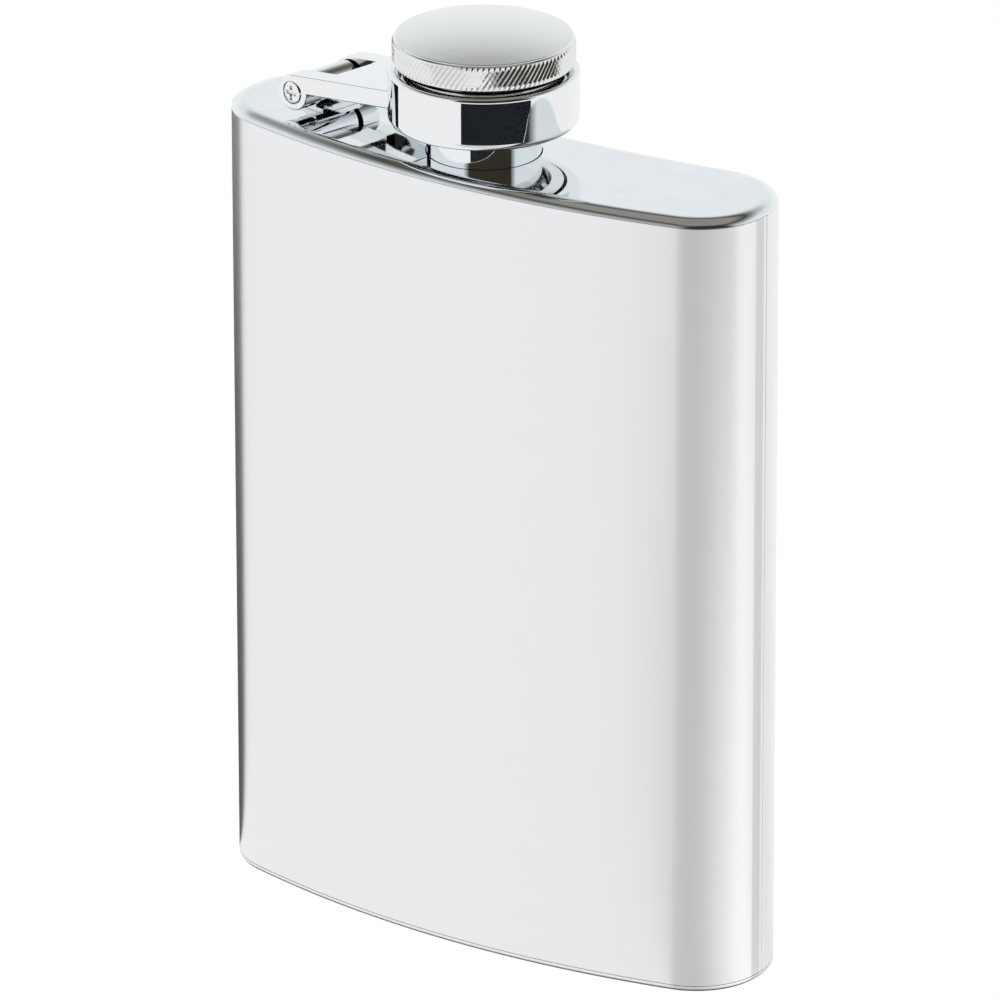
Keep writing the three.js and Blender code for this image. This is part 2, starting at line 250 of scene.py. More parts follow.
# 304 stainless sheet, belt-brushed along the width: a soft sheen with fine level lines, blurred up and down
def brushedStainless():
    look = {
        "colour": "#eeeef1",
        "grain": (9, 9, 0.16), "grainDepth": 0.0012,
        "roughness": (0.32, 0.36),
        "weldBand": (1.35, 2.95), "weldEnd": 38.6, "weldColour": "#d6d6d8",
    }
    material, tree, shader = newMaterial("brushedStainless", {
        "Metallic": 1.0, "Anisotropic": 0.75, "Anisotropic Rotation": 0.25,
    })
    place = addNode(tree, "ShaderNodeTexCoord").outputs["Object"]
    grainPlace = addNode(tree, "ShaderNodeMapping", values={"Scale": perMm(*look["grain"])},
                         links={"Vector": place})
    grain = addNode(tree, "ShaderNodeTexNoise", values={"Scale": 1.0, "Detail": 3.0, "Roughness": 0.6},
                    links={"Vector": grainPlace.outputs[0]})
    # the dressed weld down each end of the body is a duller line
    axes = addNode(tree, "ShaderNodeSeparateXYZ", links={"Vector": place})
    lowEdge, highEdge = (edge * mm for edge in look["weldBand"])
    middle, half = (lowEdge + highEdge) / 2, (highEdge - lowEdge) / 2
    offWeld = addNode(tree, "ShaderNodeMath", {"operation": "SUBTRACT"}, {1: middle}, {0: axes.outputs["Y"]})
    awayFromWeld = addNode(tree, "ShaderNodeMath", {"operation": "ABSOLUTE"}, links={0: offWeld.outputs[0]})
    onBand = addNode(tree, "ShaderNodeMapRange",
                     values={"From Min": half + 0.12 * mm, "From Max": half - 0.12 * mm},
                     links={"Value": awayFromWeld.outputs[0]})
    offMiddle = addNode(tree, "ShaderNodeMath", {"operation": "SUBTRACT"}, {1: middleX * mm},
                        {0: axes.outputs["X"]})
    reach = addNode(tree, "ShaderNodeMath", {"operation": "ABSOLUTE"}, links={0: offMiddle.outputs[0]})
    atEnd = addNode(tree, "ShaderNodeMapRange",
                    values={"From Min": look["weldEnd"] * mm, "From Max": (look["weldEnd"] + 0.2) * mm},
                    links={"Value": reach.outputs[0]})
    weld = addNode(tree, "ShaderNodeMath", {"operation": "MULTIPLY"},
                   links={0: onBand.outputs[0], 1: atEnd.outputs[0]})
    finished = addNode(tree, "ShaderNodeMix", {"data_type": "RGBA"},
                       {"A": fromHex(look["colour"]), "B": fromHex(look["weldColour"])},
                       {"Factor": weld.outputs[0]})
    rough = addNode(tree, "ShaderNodeMapRange",
                    values={"From Min": 0.3, "From Max": 0.7,
                            "To Min": look["roughness"][0], "To Max": look["roughness"][1]},
                    links={"Value": grain.outputs[0]})
    lines = addNode(tree, "ShaderNodeBump", values={"Strength": 0.5, "Distance": look["grainDepth"] * mm},
                    links={"Height": grain.outputs[0]})
    level = addNode(tree, "ShaderNodeTangent", {"direction_type": "RADIAL", "axis": "Z"})
    for socket, source in (("Base Color", finished.outputs["Result"]), ("Roughness", rough.outputs[0]),
                           ("Normal", lines.outputs[0]), ("Tangent", level.outputs[0])):
        tree.links.new(source, shader.inputs[socket])
    return material


# 304 stainless, buffed on a wheel: a clear mirror with long soft waves and a few faint wipe marks
def buffedStainless():
    look = {
        "colour": "#ebeff1", "tint": "#e6eaec",
        "wave": 16, "waveDepth": 0.004,
        "haze": 5, "roughness": (0.03, 0.055),
    }
    material, tree, shader = newMaterial("buffedStainless", {"Metallic": 1.0})
    place = addNode(tree, "ShaderNodeTexCoord").outputs["Object"]
    wave = addNode(tree, "ShaderNodeTexNoise", values={"Scale": 1 / (look["wave"] * mm), "Detail": 1.0},
                   links={"Vector": place})
    haze = addNode(tree, "ShaderNodeTexNoise", values={"Scale": 1 / (look["haze"] * mm), "Detail": 5.0},
                   links={"Vector": place})
    hazeMix = addNode(tree, "ShaderNodeMapRange", values={"From Min": 0.35, "From Max": 0.7},
                      links={"Value": haze.outputs[0]})
    colour = addNode(tree, "ShaderNodeMix", {"data_type": "RGBA"},
                     {"A": fromHex(look["colour"]), "B": fromHex(look["tint"])},
                     {"Factor": hazeMix.outputs[0]})
    rough = addNode(tree, "ShaderNodeMapRange",
                    values={"To Min": look["roughness"][0], "To Max": look["roughness"][1]},
                    links={"Value": hazeMix.outputs[0]})
    ripple = addNode(tree, "ShaderNodeBump", values={"Strength": 0.6, "Distance": look["waveDepth"] * mm},
                     links={"Height": wave.outputs[0]})
    for socket, source in (("Base Color", colour.outputs["Result"]), ("Roughness", rough.outputs[0]),
                           ("Normal", ripple.outputs[0])):
        tree.links.new(source, shader.inputs[socket])
    return material


# 304 stainless, faced on a lathe and bead-blasted: a silky face with very faint rings
def turnedStainless():
    look = {
        "colour": "#f3f4f4", "ringColour": "#ebecec",
        "ring": 0.22, "ringDepth": 0.0006,
        "roughness": (0.26, 0.33),
    }
    material, tree, shader = newMaterial("turnedStainless", {"Metallic": 1.0})
    place = addNode(tree, "ShaderNodeTexCoord").outputs["Object"]
    axes = addNode(tree, "ShaderNodeSeparateXYZ", links={"Vector": place})
    flat = addNode(tree, "ShaderNodeCombineXYZ", links={"X": axes.outputs["X"], "Y": axes.outputs["Y"]})
    radius = addNode(tree, "ShaderNodeVectorMath", {"operation": "LENGTH"}, links={0: flat.outputs[0]})
    ringPlace = addNode(tree, "ShaderNodeCombineXYZ",
                        links={"X": radius.outputs["Value"], "Z": axes.outputs["Z"]})
    rings = addNode(tree, "ShaderNodeTexNoise", values={"Scale": 1 / (look["ring"] * mm), "Detail": 3.0},
                    links={"Vector": ringPlace.outputs[0]})
    colour = addNode(tree, "ShaderNodeMix", {"data_type": "RGBA"},
                     {"A": fromHex(look["colour"]), "B": fromHex(look["ringColour"])},
                     {"Factor": rings.outputs[0]})
    rough = addNode(tree, "ShaderNodeMapRange",
                    values={"To Min": look["roughness"][0], "To Max": look["roughness"][1]},
                    links={"Value": rings.outputs[0]})
    grooves = addNode(tree, "ShaderNodeBump", values={"Strength": 0.5, "Distance": look["ringDepth"] * mm},
                      links={"Height": rings.outputs[0]})
    for socket, source in (("Base Color", colour.outputs["Result"]), ("Roughness", rough.outputs[0]),
                           ("Normal", grooves.outputs[0])):
        tree.links.new(source, shader.inputs[socket])
    return material


# 304 stainless, turned on a lathe and polished: bright, with close level rings
def polishedTurning():
    look = {"colour": "#eceded", "ringColour": "#dcdddd", "ring": 0.14, "ringDepth": 0.0016,
            "roughness": (0.09, 0.17)}
    material, tree, shader = newMaterial("polishedTurning", {"Metallic": 1.0})
    place = addNode(tree, "ShaderNodeTexCoord").outputs["Object"]
    level = addNode(tree, "ShaderNodeMapping", values={"Scale": perMm(30, 30, look["ring"])},
                    links={"Vector": place})
    rings = addNode(tree, "ShaderNodeTexNoise", values={"Scale": 1.0, "Detail": 2.0},
                    links={"Vector": level.outputs[0]})
    colour = addNode(tree, "ShaderNodeMix", {"data_type": "RGBA"},
                     {"A": fromHex(look["colour"]), "B": fromHex(look["ringColour"])},
                     {"Factor": rings.outputs[0]})
    rough = addNode(tree, "ShaderNodeMapRange",
                    values={"To Min": look["roughness"][0], "To Max": look["roughness"][1]},
                    links={"Value": rings.outputs[0]})
    grooves = addNode(tree, "ShaderNodeBump", values={"Strength": 0.5, "Distance": look["ringDepth"] * mm},
                      links={"Height": rings.outputs[0]})
    for socket, source in (("Base Color", colour.outputs["Result"]), ("Roughness", rough.outputs[0]),
                           ("Normal", grooves.outputs[0])):
        tree.links.new(source, shader.inputs[socket])
    return material


# die-cast zinc, chrome plated: a hard mirror with the casting's slight unevenness and rare pin-holes
def chromedZinc():
    look = {"colour": "#ebedef", "wave": 3.5, "waveDepth": 0.007, "pit": 6, "pitDepth": 0.04,
            "pitColour": "#8d9094", "roughness": (0.025, 0.06)}
    material, tree, shader = newMaterial("chromedZinc", {"Metallic": 1.0})
    place = addNode(tree, "ShaderNodeTexCoord").outputs["Object"]
    wave = addNode(tree, "ShaderNodeTexNoise", values={"Scale": 1 / (look["wave"] * mm), "Detail": 2.0},
                   links={"Vector": place})
    pits = addNode(tree, "ShaderNodeTexVoronoi", values={"Scale": 1 / (look["pit"] * mm), "Randomness": 1.0},
                   links={"Vector": place})
    pitMask = addNode(tree, "ShaderNodeMapRange", values={"From Min": 0.014, "From Max": 0.026},
                      links={"Value": pits.outputs["Distance"]})
    colour = addNode(tree, "ShaderNodeMix", {"data_type": "RGBA"},
                     {"A": fromHex(look["pitColour"]), "B": fromHex(look["colour"])},
                     {"Factor": pitMask.outputs[0]})
    rough = addNode(tree, "ShaderNodeMapRange",
                    values={"To Min": look["roughness"][0], "To Max": look["roughness"][1]},
                    links={"Value": wave.outputs[0]})
    casting = addNode(tree, "ShaderNodeBump", values={"Strength": 0.5, "Distance": look["waveDepth"] * mm},
                      links={"Height": wave.outputs[0]})
    holes = addNode(tree, "ShaderNodeBump", values={"Strength": 0.6, "Distance": look["pitDepth"] * mm},
                    links={"Height": pitMask.outputs[0], "Normal": casting.outputs[0]})
    for socket, source in (("Base Color", colour.outputs["Result"]), ("Roughness", rough.outputs[0]),
                           ("Normal", holes.outputs[0])):
        tree.links.new(source, shader.inputs[socket])
    return material


# stainless spring strip, cold rolled: grey, with drawn lines round the ring
def springSteel():
    look = {"colour": "#b4b6ba", "lineColour": "#8f9298", "line": 0.2, "roughness": (0.28, 0.42),
            "lineDepth": 0.003}
    material, tree, shader = newMaterial("springSteel", {"Metallic": 1.0})
    place = addNode(tree, "ShaderNodeTexCoord").outputs["Object"]
    level = addNode(tree, "ShaderNodeMapping", values={"Scale": perMm(6, 6, look["line"])},
                    links={"Vector": place})
    lines = addNode(tree, "ShaderNodeTexNoise", values={"Scale": 1.0, "Detail": 3.0},
                    links={"Vector": level.outputs[0]})
    colour = addNode(tree, "ShaderNodeMix", {"data_type": "RGBA"},
                     {"A": fromHex(look["colour"]), "B": fromHex(look["lineColour"])},
                     {"Factor": lines.outputs[0]})
    rough = addNode(tree, "ShaderNodeMapRange",
                    values={"To Min": look["roughness"][0], "To Max": look["roughness"][1]},
                    links={"Value": lines.outputs[0]})
    drawn = addNode(tree, "ShaderNodeBump", values={"Strength": 0.5, "Distance": look["lineDepth"] * mm},
                    links={"Height": lines.outputs[0]})
    for socket, source in (("Base Color", colour.outputs["Result"]), ("Roughness", rough.outputs[0]),
                           ("Normal", drawn.outputs[0])):
        tree.links.new(source, shader.inputs[socket])
    return material


# food-grade silicone, compression moulded: milky and soft, with a fine matt skin
def mouldedSilicone():
    look = {"colour": "#e9e6dd", "shade": "#dad6ca", "skin": 0.25, "skinDepth": 0.006,
            "roughness": (0.5, 0.65)}
    material, tree, shader = newMaterial("mouldedSilicone", {
        "Metallic": 0.0, "IOR": 1.41, "Subsurface Weight": 0.25, "Subsurface Scale": 0.6 * mm,
    })
    place = addNode(tree, "ShaderNodeTexCoord").outputs["Object"]
    skin = addNode(tree, "ShaderNodeTexNoise", values={"Scale": 1 / (look["skin"] * mm), "Detail": 3.0},
                   links={"Vector": place})
    colour = addNode(tree, "ShaderNodeMix", {"data_type": "RGBA"},
                     {"A": fromHex(look["colour"]), "B": fromHex(look["shade"])},
                     {"Factor": skin.outputs[0]})
    rough = addNode(tree, "ShaderNodeMapRange",
                    values={"To Min": look["roughness"][0], "To Max": look["roughness"][1]},
                    links={"Value": skin.outputs[0]})
    matt = addNode(tree, "ShaderNodeBump", values={"Strength": 0.4, "Distance": look["skinDepth"] * mm},
                   links={"Height": skin.outputs[0]})
    for socket, source in (("Base Color", colour.outputs["Result"]), ("Roughness", rough.outputs[0]),
                           ("Normal", matt.outputs[0])):
        tree.links.new(source, shader.inputs[socket])
    return material


brushed = brushedStainless()
buffed = buffedStainless()
turned = turnedStainless()
polished = polishedTurning()
chromed = chromedZinc()
spring = springSteel()
silicone = mouldedSilicone()
print("materials made")


body = {
    "thickness": 21,  # at the middle of the width
    "frontRadius": 130, "backRadius": 168,
    "frontCorner": 9.2, "backCorner": 9.8,
    "arcSteps": 72, "cornerSteps": 28,
    "sheet": 0.6,
    "seam": 3.6, "seamGroove": 0.05,  # where the two shells meet, and the half gap between them
    "plateSeam": 0.05, "baseSeam": 0.02,  # gap between a shell's rim and a plate
    "rimRound": 0.1,
    "shoulderHeight": 1.0, "shoulderInset": 1.7,
    "baseEdgeHeight": 0.9, "baseEdgeInset": 0.9,
    "baseRim": 1.1, "baseRecess": 0.25,
    "baseRecessSlope": 0.35,
    "plateLip": 0.5, "lipGap": 0.1,  # the lip that drops inside a shell, and its clearance
    "roundSteps": 10, "flatGuard": 0.2,  # a narrow ring of faces that keeps the flat's shading flat
}

frontCentre = body["frontRadius"] - body["thickness"] / 2
backCentre = body["backRadius"] + body["thickness"] / 2
frontCornerX = halfWidth - body["frontCorner"]
backCornerX = halfWidth - body["backCorner"]
frontTurn = math.asin(frontCornerX / (body["frontRadius"] - body["frontCorner"]))
backTurn = math.asin(backCornerX / (body["backRadius"] + body["backCorner"]))
frontCornerY = frontCentre - (body["frontRadius"] - body["frontCorner"]) * math.cos(frontTurn)
backCornerY = backCentre - (body["backRadius"] + body["backCorner"]) * math.cos(backTurn)
frontDegrees, backDegrees = math.degrees(frontTurn), math.degrees(backTurn)
shellBottom = body["baseEdgeHeight"] + body["baseSeam"]
shellTop = deck - body["shoulderHeight"] - body["plateSeam"]


def spinFront():  # left corner, front, right corner
    spinArc(middleX - frontCornerX, frontCornerY, 90 - frontDegrees, body["cornerSteps"])
    spinArc(middleX, frontCentre, 2 * frontDegrees, body["arcSteps"])
    spinArc(middleX + frontCornerX, frontCornerY, 90 - frontDegrees, body["cornerSteps"])


def spinBack(trim):  # right corner, back, left corner; trim shortens both ends
    spinArc(middleX + backCornerX, backCornerY, 90 + backDegrees - trim, body["cornerSteps"])
    spinArc(middleX, backCentre, -2 * backDegrees, body["arcSteps"])
    spinArc(middleX - backCornerX, backCornerY, 90 + backDegrees - trim, body["cornerSteps"])


def raiseShell(piece):  # from the line of its outside to a sheet with rounded rims
    bpy.ops.mesh.select_all(action="SELECT")
    extrudeBy(0, 0, shellTop - shellBottom)
    bpy.ops.mesh.select_all(action="SELECT")
    bpy.ops.mesh.remove_doubles(threshold=weldDistance)
    bpy.ops.object.mode_set(mode="OBJECT")
    face = piece.data.polygons[len(piece.data.polygons) // 2]
    inwards = face.normal.y * (1 if "front" in piece.name else -1) > 0
    if inwards:
        editAll(piece)
        bpy.ops.mesh.flip_normals()
        bpy.ops.object.mode_set(mode="OBJECT")
    applyModifier(piece, "SOLIDIFY", thickness=body["sheet"] * mm, offset=-1, use_even_offset=True)
    roundEdges(piece, body["rimRound"], 3, 60)


def modelFrontShell():
    end = body["seam"] - body["seamGroove"]
    piece = startLine("frontShell", middleX - halfWidth, end, shellBottom)
    extrudeBy(0, frontCornerY - end, 0)
    spinFront()
    extrudeBy(0, end - frontCornerY, 0)
    raiseShell(piece)
    finishPiece(piece, brushed, "flask_body", "front_shell")


def modelBackShell():
    rise = body["seam"] + body["seamGroove"] - backCornerY
    trim = math.asin(rise / body["backCorner"])
    startX = middleX + backCornerX + body["backCorner"] * math.cos(trim)
    piece = startLine("backShell", startX, backCornerY + rise, shellBottom)
    spinBack(math.degrees(trim))
    raiseShell(piece)
    finishPiece(piece, brushed, "flask_body", "back_shell")


def drawOutline(name, height, side):  # the body's outline as one face that looks up (1) or down (-1)
    piece = startLine(name, middleX - halfWidth, frontCornerY, height)
    spinFront()
    extrudeBy(0, backCornerY - frontCornerY, 0)
    spinBack(0)
    extrudeBy(0, frontCornerY - backCornerY, 0)
    bpy.ops.mesh.select_all(action="SELECT")
    bpy.ops.mesh.remove_doubles(threshold=weldDistance)
    bpy.ops.mesh.select_all(action="SELECT")
    bpy.ops.mesh.edge_face_add()
    bpy.ops.object.mode_set(mode="OBJECT")
    wrongSide = piece.data.polygons[0].normal.z * side < 0
    bpy.ops.object.mode_set(mode="EDIT")
    if wrongSide:
        bpy.ops.mesh.flip_normals()
    return piece


def roundInwards(height, inset):  # carries the selected face over a round edge, one arc that ends level
    steps = body["roundSteps"]
    slope = 2 * math.atan(height / inset)  # of the edge where it meets the shell
    radius = inset / math.sin(slope)
    for step in range(steps):
        low, high = (slope * (1 - edge / steps) for edge in (step, step + 1))
        bpy.ops.mesh.inset(
            thickness=radius * (math.sin(low) - math.sin(high)) * mm,
            depth=radius * (math.cos(high) - math.cos(low)) * mm,
            use_even_offset=True,
            use_relative_offset=False,
        )
    bpy.ops.mesh.inset(thickness=body["flatGuard"] * mm, depth=0)


def modelTopPlate():
    edge = deck - body["shoulderHeight"]
    piece = drawOutline("topPlate", edge, 1)
    roundInwards(body["shoulderHeight"], body["shoulderInset"])
    bpy.ops.mesh.select_all(action="DESELECT")
    bpy.ops.mesh.select_non_manifold()
    bpy.ops.mesh.edge_face_add()
    closeUp()
    editAll(piece)
    selectFaces(piece, lambda middle, normal: normal.z < -0.9)
    bpy.ops.mesh.inset(thickness=(body["sheet"] + body["lipGap"]) * mm, depth=0)
    bpy.ops.mesh.inset(thickness=0, depth=body["plateLip"] * mm)
    closeUp()
    hole = makeRod("hole", neck["radius"] + neck["weldGap"], deck - 5, deck + 5, 128)
    cutWith(piece, hole)
    finishPiece(piece, buffed, "flask_body", "top_plate")


def modelBasePlate():
    piece = drawOutline("basePlate", body["baseEdgeHeight"], -1)
    roundInwards(body["baseEdgeHeight"], body["baseEdgeInset"])
    bpy.ops.mesh.inset(thickness=body["baseRim"] * mm, depth=0)
    bpy.ops.mesh.inset(thickness=body["baseRecessSlope"] * mm, depth=-body["baseRecess"] * mm)
    bpy.ops.mesh.select_all(action="DESELECT")
    bpy.ops.mesh.select_non_manifold()
    bpy.ops.mesh.edge_face_add()
    closeUp()
    editAll(piece)
    selectFaces(piece, lambda middle, normal: normal.z > 0.9 and middle.z > body["baseEdgeHeight"] - 0.1)
    bpy.ops.mesh.inset(thickness=(body["sheet"] + body["lipGap"]) * mm, depth=0)
    bpy.ops.mesh.inset(thickness=0, depth=body["plateLip"] * mm)
    closeUp()
    finishPiece(piece, brushed, "flask_body", "base_plate")


neck = {
    "radius": 7.15, "collar": 3.4, "height": 9.6, "bore": 5.3,
    "flange": 9.15, "flangeBottom": -2.3, "flangeTop": -1.52,
    "root": 6.45, "crest": 6.95, "pitch": 2.4, "turns": 1.75, "threadStart": 5.2,
    "ridgeFoot": 0.5, "ridgeTop": 0.14, "edge": 0.12, "weldGap": 0.12,
}


def helicalRidge(name, start, turns, pitch, foot, crest, footHalf, topHalf):
    # a thread ridge as a closed strip wound round Z, from a small section
    piece = drawLine(name, [
        (foot, 0, start - footHalf), (crest, 0, start - topHalf),
        (crest, 0, start + topHalf), (foot, 0, start + footHalf), (foot, 0, start - footHalf),
    ])
    bpy.ops.mesh.select_all(action="SELECT")
    bpy.ops.mesh.remove_doubles(threshold=weldDistance)
    bpy.ops.object.mode_set(mode="OBJECT")
    steps = round(96 * turns)
    applyModifier(
        piece, "SCREW", axis="Z", angle=math.tau * turns, screw_offset=pitch * turns * mm,
        steps=steps, render_steps=steps, use_smooth_shade=True, use_merge_vertices=False,
    )
    editAll(piece)
    bpy.ops.mesh.select_all(action="DESELECT")
    bpy.ops.mesh.select_non_manifold()
    bpy.ops.mesh.fill()
    closeUp()
    return piece


def modelNeck():
    piece = turnPiece("neckTube", [
        (neck["bore"], deck + neck["flangeBottom"]),
        (neck["flange"], deck + neck["flangeBottom"]),
        (neck["flange"], deck + neck["flangeTop"]),
        (neck["radius"], deck + neck["flangeTop"]),
        (neck["radius"], deck + neck["collar"]),
        (neck["root"], deck + neck["collar"]),
        (neck["root"], deck + neck["height"]),
        (neck["bore"], deck + neck["height"]),
        (neck["bore"], deck + neck["flangeBottom"]),
    ])
    roundEdges(piece, neck["edge"])
    thread = helicalRidge(
        "neckThread", deck + neck["threadStart"], neck["turns"], neck["pitch"],
        neck["root"] - 0.1, neck["crest"], neck["ridgeFoot"], neck["ridgeTop"],
    )
    joinWith(piece, thread)
    finishPiece(piece, buffed, "flask_body", "neck_tube")


modelFrontShell()
modelBackShell()
print("shells made")
modelTopPlate()
modelBasePlate()
print("plates made")
modelNeck()
print("neck made")


hinge = {
    "turn": 12,  # the pin's angle from the Y axis
    "barrel": 1.95, "length": 6.2, "bore": 1.05,
    "foot": 0.6, "footReach": 2.3, "footGap": 0.03,
    "web": 0.98, "edge": 0.12,
}
screw = {
    "radius": 0.9, "head": 1.45, "headHeight": 0.8, "proud": 0.2, "dome": 0.18,
    "crossWidth": 0.45, "crossLength": 1.9, "crossDepth": 0.45,
    "end": 0.3, "edge": 0.05, "play": 0.05,
}

armJoint = next(joint for joint in frame["joints"] if joint["name"] == "arm_hinge")
pivot = Vector(armJoint["pos_m"])
pivotHeight = pivot.z / mm - deck
hingeFrame = Matrix.Translation(pivot) @ Matrix.Rotation(-math.radians(hinge["turn"]), 4, "Z")


def modelBracket():
    half = hinge["length"] / 2
    floor = -pivotHeight + hinge["footGap"]
    piece = rodAlongY("hingeBracket", hinge["barrel"], -half, half, 72)
    web = makeBlock("web", -hinge["web"], hinge["web"], -half, half, floor + 0.1, 0)
    reach = hinge["footReach"]
    foot = makeBlock("foot", -reach, reach, -half, half, floor, floor + hinge["foot"])
    joinWith(piece, web)
    joinWith(piece, foot)
    cutWith(piece, rodAlongY("bore", hinge["bore"], -half - 1, half + 1, 48))
    roundEdges(piece, hinge["edge"], 3, 35)
    placeBy(piece, hingeFrame)
    finishPiece(piece, chromed, "flask_body", "hinge_bracket")


def modelScrew(armHalf):
    headBase = -armHalf - screw["proud"] + screw["headHeight"]
    headFace = -armHalf - screw["proud"] + screw["dome"]
    angles = [math.radians(15 * step) for step in range(7)]
    dome = [(screw["head"] * math.cos(angle), screw["dome"] * math.sin(angle) - headFace) for angle in angles]
    end = screw["end"] - armHalf
    profile = [(0, end), (screw["radius"], end), (screw["radius"], -headBase),
               (screw["head"], -headBase), *dome]
    profile[-1] = (0, profile[-1][1])
    piece = turnPiece("hingeScrew", profile, 64)
    reach, half = screw["crossLength"] / 2, screw["crossWidth"] / 2
    top = -headFace + screw["dome"] + 1
    bottom = -headFace + screw["dome"] - screw["crossDepth"]
    cross = makeBlock("cross", -reach, reach, -half, half, bottom, top)
    joinWith(cross, makeBlock("across", -half, half, -reach, reach, bottom, top))
    cutWith(piece, cross)
    roundEdges(piece, screw["edge"], 2, 40)
    placeBy(piece, hingeFrame @ Matrix.Rotation(math.radians(90), 4, "X"))
    finishPiece(piece, chromed, "arm", "hinge_screw")


arm = {
    "width": 12.4, "depth": 2.3, "wall": 1.3, "top": 1.2, "rise": 5.9, "slot": 3,
    "ear": 2.3, "play": 0.3, "edge": 0.16, "root": 0.5,
}
ring = {
    "bore": 10.25, "recess": 10.9, "radius": 11.9,
    "bottom": 4.0, "floor": 4.95, "ceiling": 9.95, "top": 10.95,
    "lowerEdge": 0.95, "upperEdge": 0.55, "edgeSteps": 7, "flatGuard": 0.05,
    "rootDepth": 0.3,  # how far the arm stays out of the ring's recess
}


def quarterRound(centreRadius, centreHeight, size, start, end, steps):
    return [
        (centreRadius + size * math.cos(math.radians(start + (end - start) * step / steps)),
         centreHeight + size * math.sin(math.radians(start + (end - start) * step / steps)))
        for step in range(steps + 1)
    ]


def makeRing():
    lower, upper, steps = ring["lowerEdge"], ring["upperEdge"], ring["edgeSteps"]
    bottom, top = deck + ring["bottom"], deck + ring["top"]
    guard = ring["flatGuard"]
    flatEnds = [(ring["radius"], bottom + lower + guard), (ring["radius"], top - upper - guard)]
    outside = (quarterRound(ring["radius"] - lower, bottom + lower, lower, -90, 0, steps) + flatEnds
               + quarterRound(ring["radius"] - upper, top - upper, upper, 0, 90, steps))
    profile = [(ring["bore"], bottom), *outside, (ring["bore"], top), (ring["bore"], deck + ring["ceiling"]),
               (ring["recess"], deck + ring["ceiling"]), (ring["recess"], deck + ring["floor"]),
               (ring["bore"], deck + ring["floor"]), (ring["bore"], bottom)]
    return turnPiece("captiveArm", profile, 160)


def modelArm():
    half = arm["width"] / 2
    earInner = hinge["length"] / 2 + arm["play"]
    distance = pivot.xy.length / mm
    heading = math.atan2(-pivot.y, -pivot.x)
    armFrame = Matrix.Rotation(heading, 4, "Z") @ Matrix.Rotation(-math.radians(arm["rise"]), 4, "Y")
    # the arm's section runs along the arm and its width along the pin, which isn't square to it
    slant = Matrix.Translation(pivot) @ armFrame
    slant.col[1] = hingeFrame.col[1]
    reach = distance - math.sqrt(ring["recess"] ** 2 - half ** 2) + arm["root"]  # into the ring's wall
    slotEnd = hinge["barrel"] + arm["slot"]
    underside = arm["depth"] - arm["top"]
    outline = [(arm["ear"] * math.cos(math.radians(angle)), arm["ear"] * math.sin(math.radians(angle)))
               for angle in range(0, -271, -6)]
    outline += [(reach, arm["depth"]), (reach, 0), outline[0]]
    bar = drawLine("bar", [(x, -half, z) for x, z in outline])
    bpy.ops.mesh.select_all(action="SELECT")
    bpy.ops.mesh.remove_doubles(threshold=weldDistance)
    bpy.ops.mesh.select_all(action="SELECT")
    bpy.ops.mesh.edge_face_add()
    extrudeBy(0, 2 * half, 0)
    closeUp()
    roundEdges(bar, arm["edge"], 3, 35)
    cutWith(bar, makeBlock("slot", -5, slotEnd, -earInner, earInner, -5, 5))
    cutWith(bar, makeBlock("bay", slotEnd - 1, slotEnd + 2 * arm["top"], 0.02 - earInner, earInner - 0.02,
                           -5, underside))
    cutWith(bar, makeBlock("under", slotEnd + arm["top"], reach + 5, arm["wall"] - half, half - arm["wall"],
                           -5, underside + 0.01))
    bar.data.transform(slant)
    pinHole = rodAlongY("pinHole", screw["radius"] + screw["play"], -half - 3, half + 3, 48)
    cutWith(bar, placeBy(pinHole, hingeFrame))
    headSeat = -half - screw["proud"] + screw["headHeight"]
    seat = rodAlongY("headSeat", screw["head"] + screw["play"], -half - 3, headSeat, 64)
    cutWith(bar, placeBy(seat, hingeFrame))
    cutWith(bar, makeRod("ringRoom", ring["recess"] + ring["rootDepth"], deck, deck + 20, 160))
    piece = makeRing()
    joinWith(piece, bar)
    finishPiece(piece, chromed, "arm", "captive_arm")


modelBracket()
modelScrew(arm["width"] / 2)
print("hinge made")
modelArm()
print("arm and ring made")


sleeve = {
    "bottom": 3.7, "radius": 9.85, "skirt": 8.2, "thread": 7.75, "threadBottom": 6,
    "groove": 9.3, "grooveLow": 4.95, "grooveHigh": 6.35,
    "ceiling": 11.4, "flangeBottom": 12.3, "flange": 10.6, "top": 13.2,
    "ridgeCrest": 7.3, "pitch": 2.4, "turns": 1.4, "ridgeStart": 6.9, "edge": 0.15,
    "ridgeFoot": 0.5, "ridgeTop": 0.14, "leadIn": 0.45,
}
head = {
    "radius": 11.35, "bottom": 11.65, "bandTop": 14.85, "edgeHeight": 0.25, "edgeInset": 0.35, "dome": 1.1,
    "lip": 10.55, "lipTop": 12.0, "pocket": 10.9, "pocketTop": 13.5, "domeSteps": 12,
    "edgeRound": 0.1, "bottomChamfer": 0.12, "bandRound": 0.06,
}
knurl = {"columns": 208, "rows": 6, "depth": 0.16, "lowMargin": 0.12, "highMargin": 0.1,
         "ridge": 0.35, "groove": 0.5}  # shares of the depth
clip = {"inner": 9.6, "outer": 10.6, "bottom": 5.25, "thickness": 0.8, "split": 2.4, "edge": 0.12}
gasket = {"radius": 7.45, "bottom": 9.9, "thickness": 1.2, "bead": 5.9, "beadWidth": 0.5, "beadDepth": 0.12}


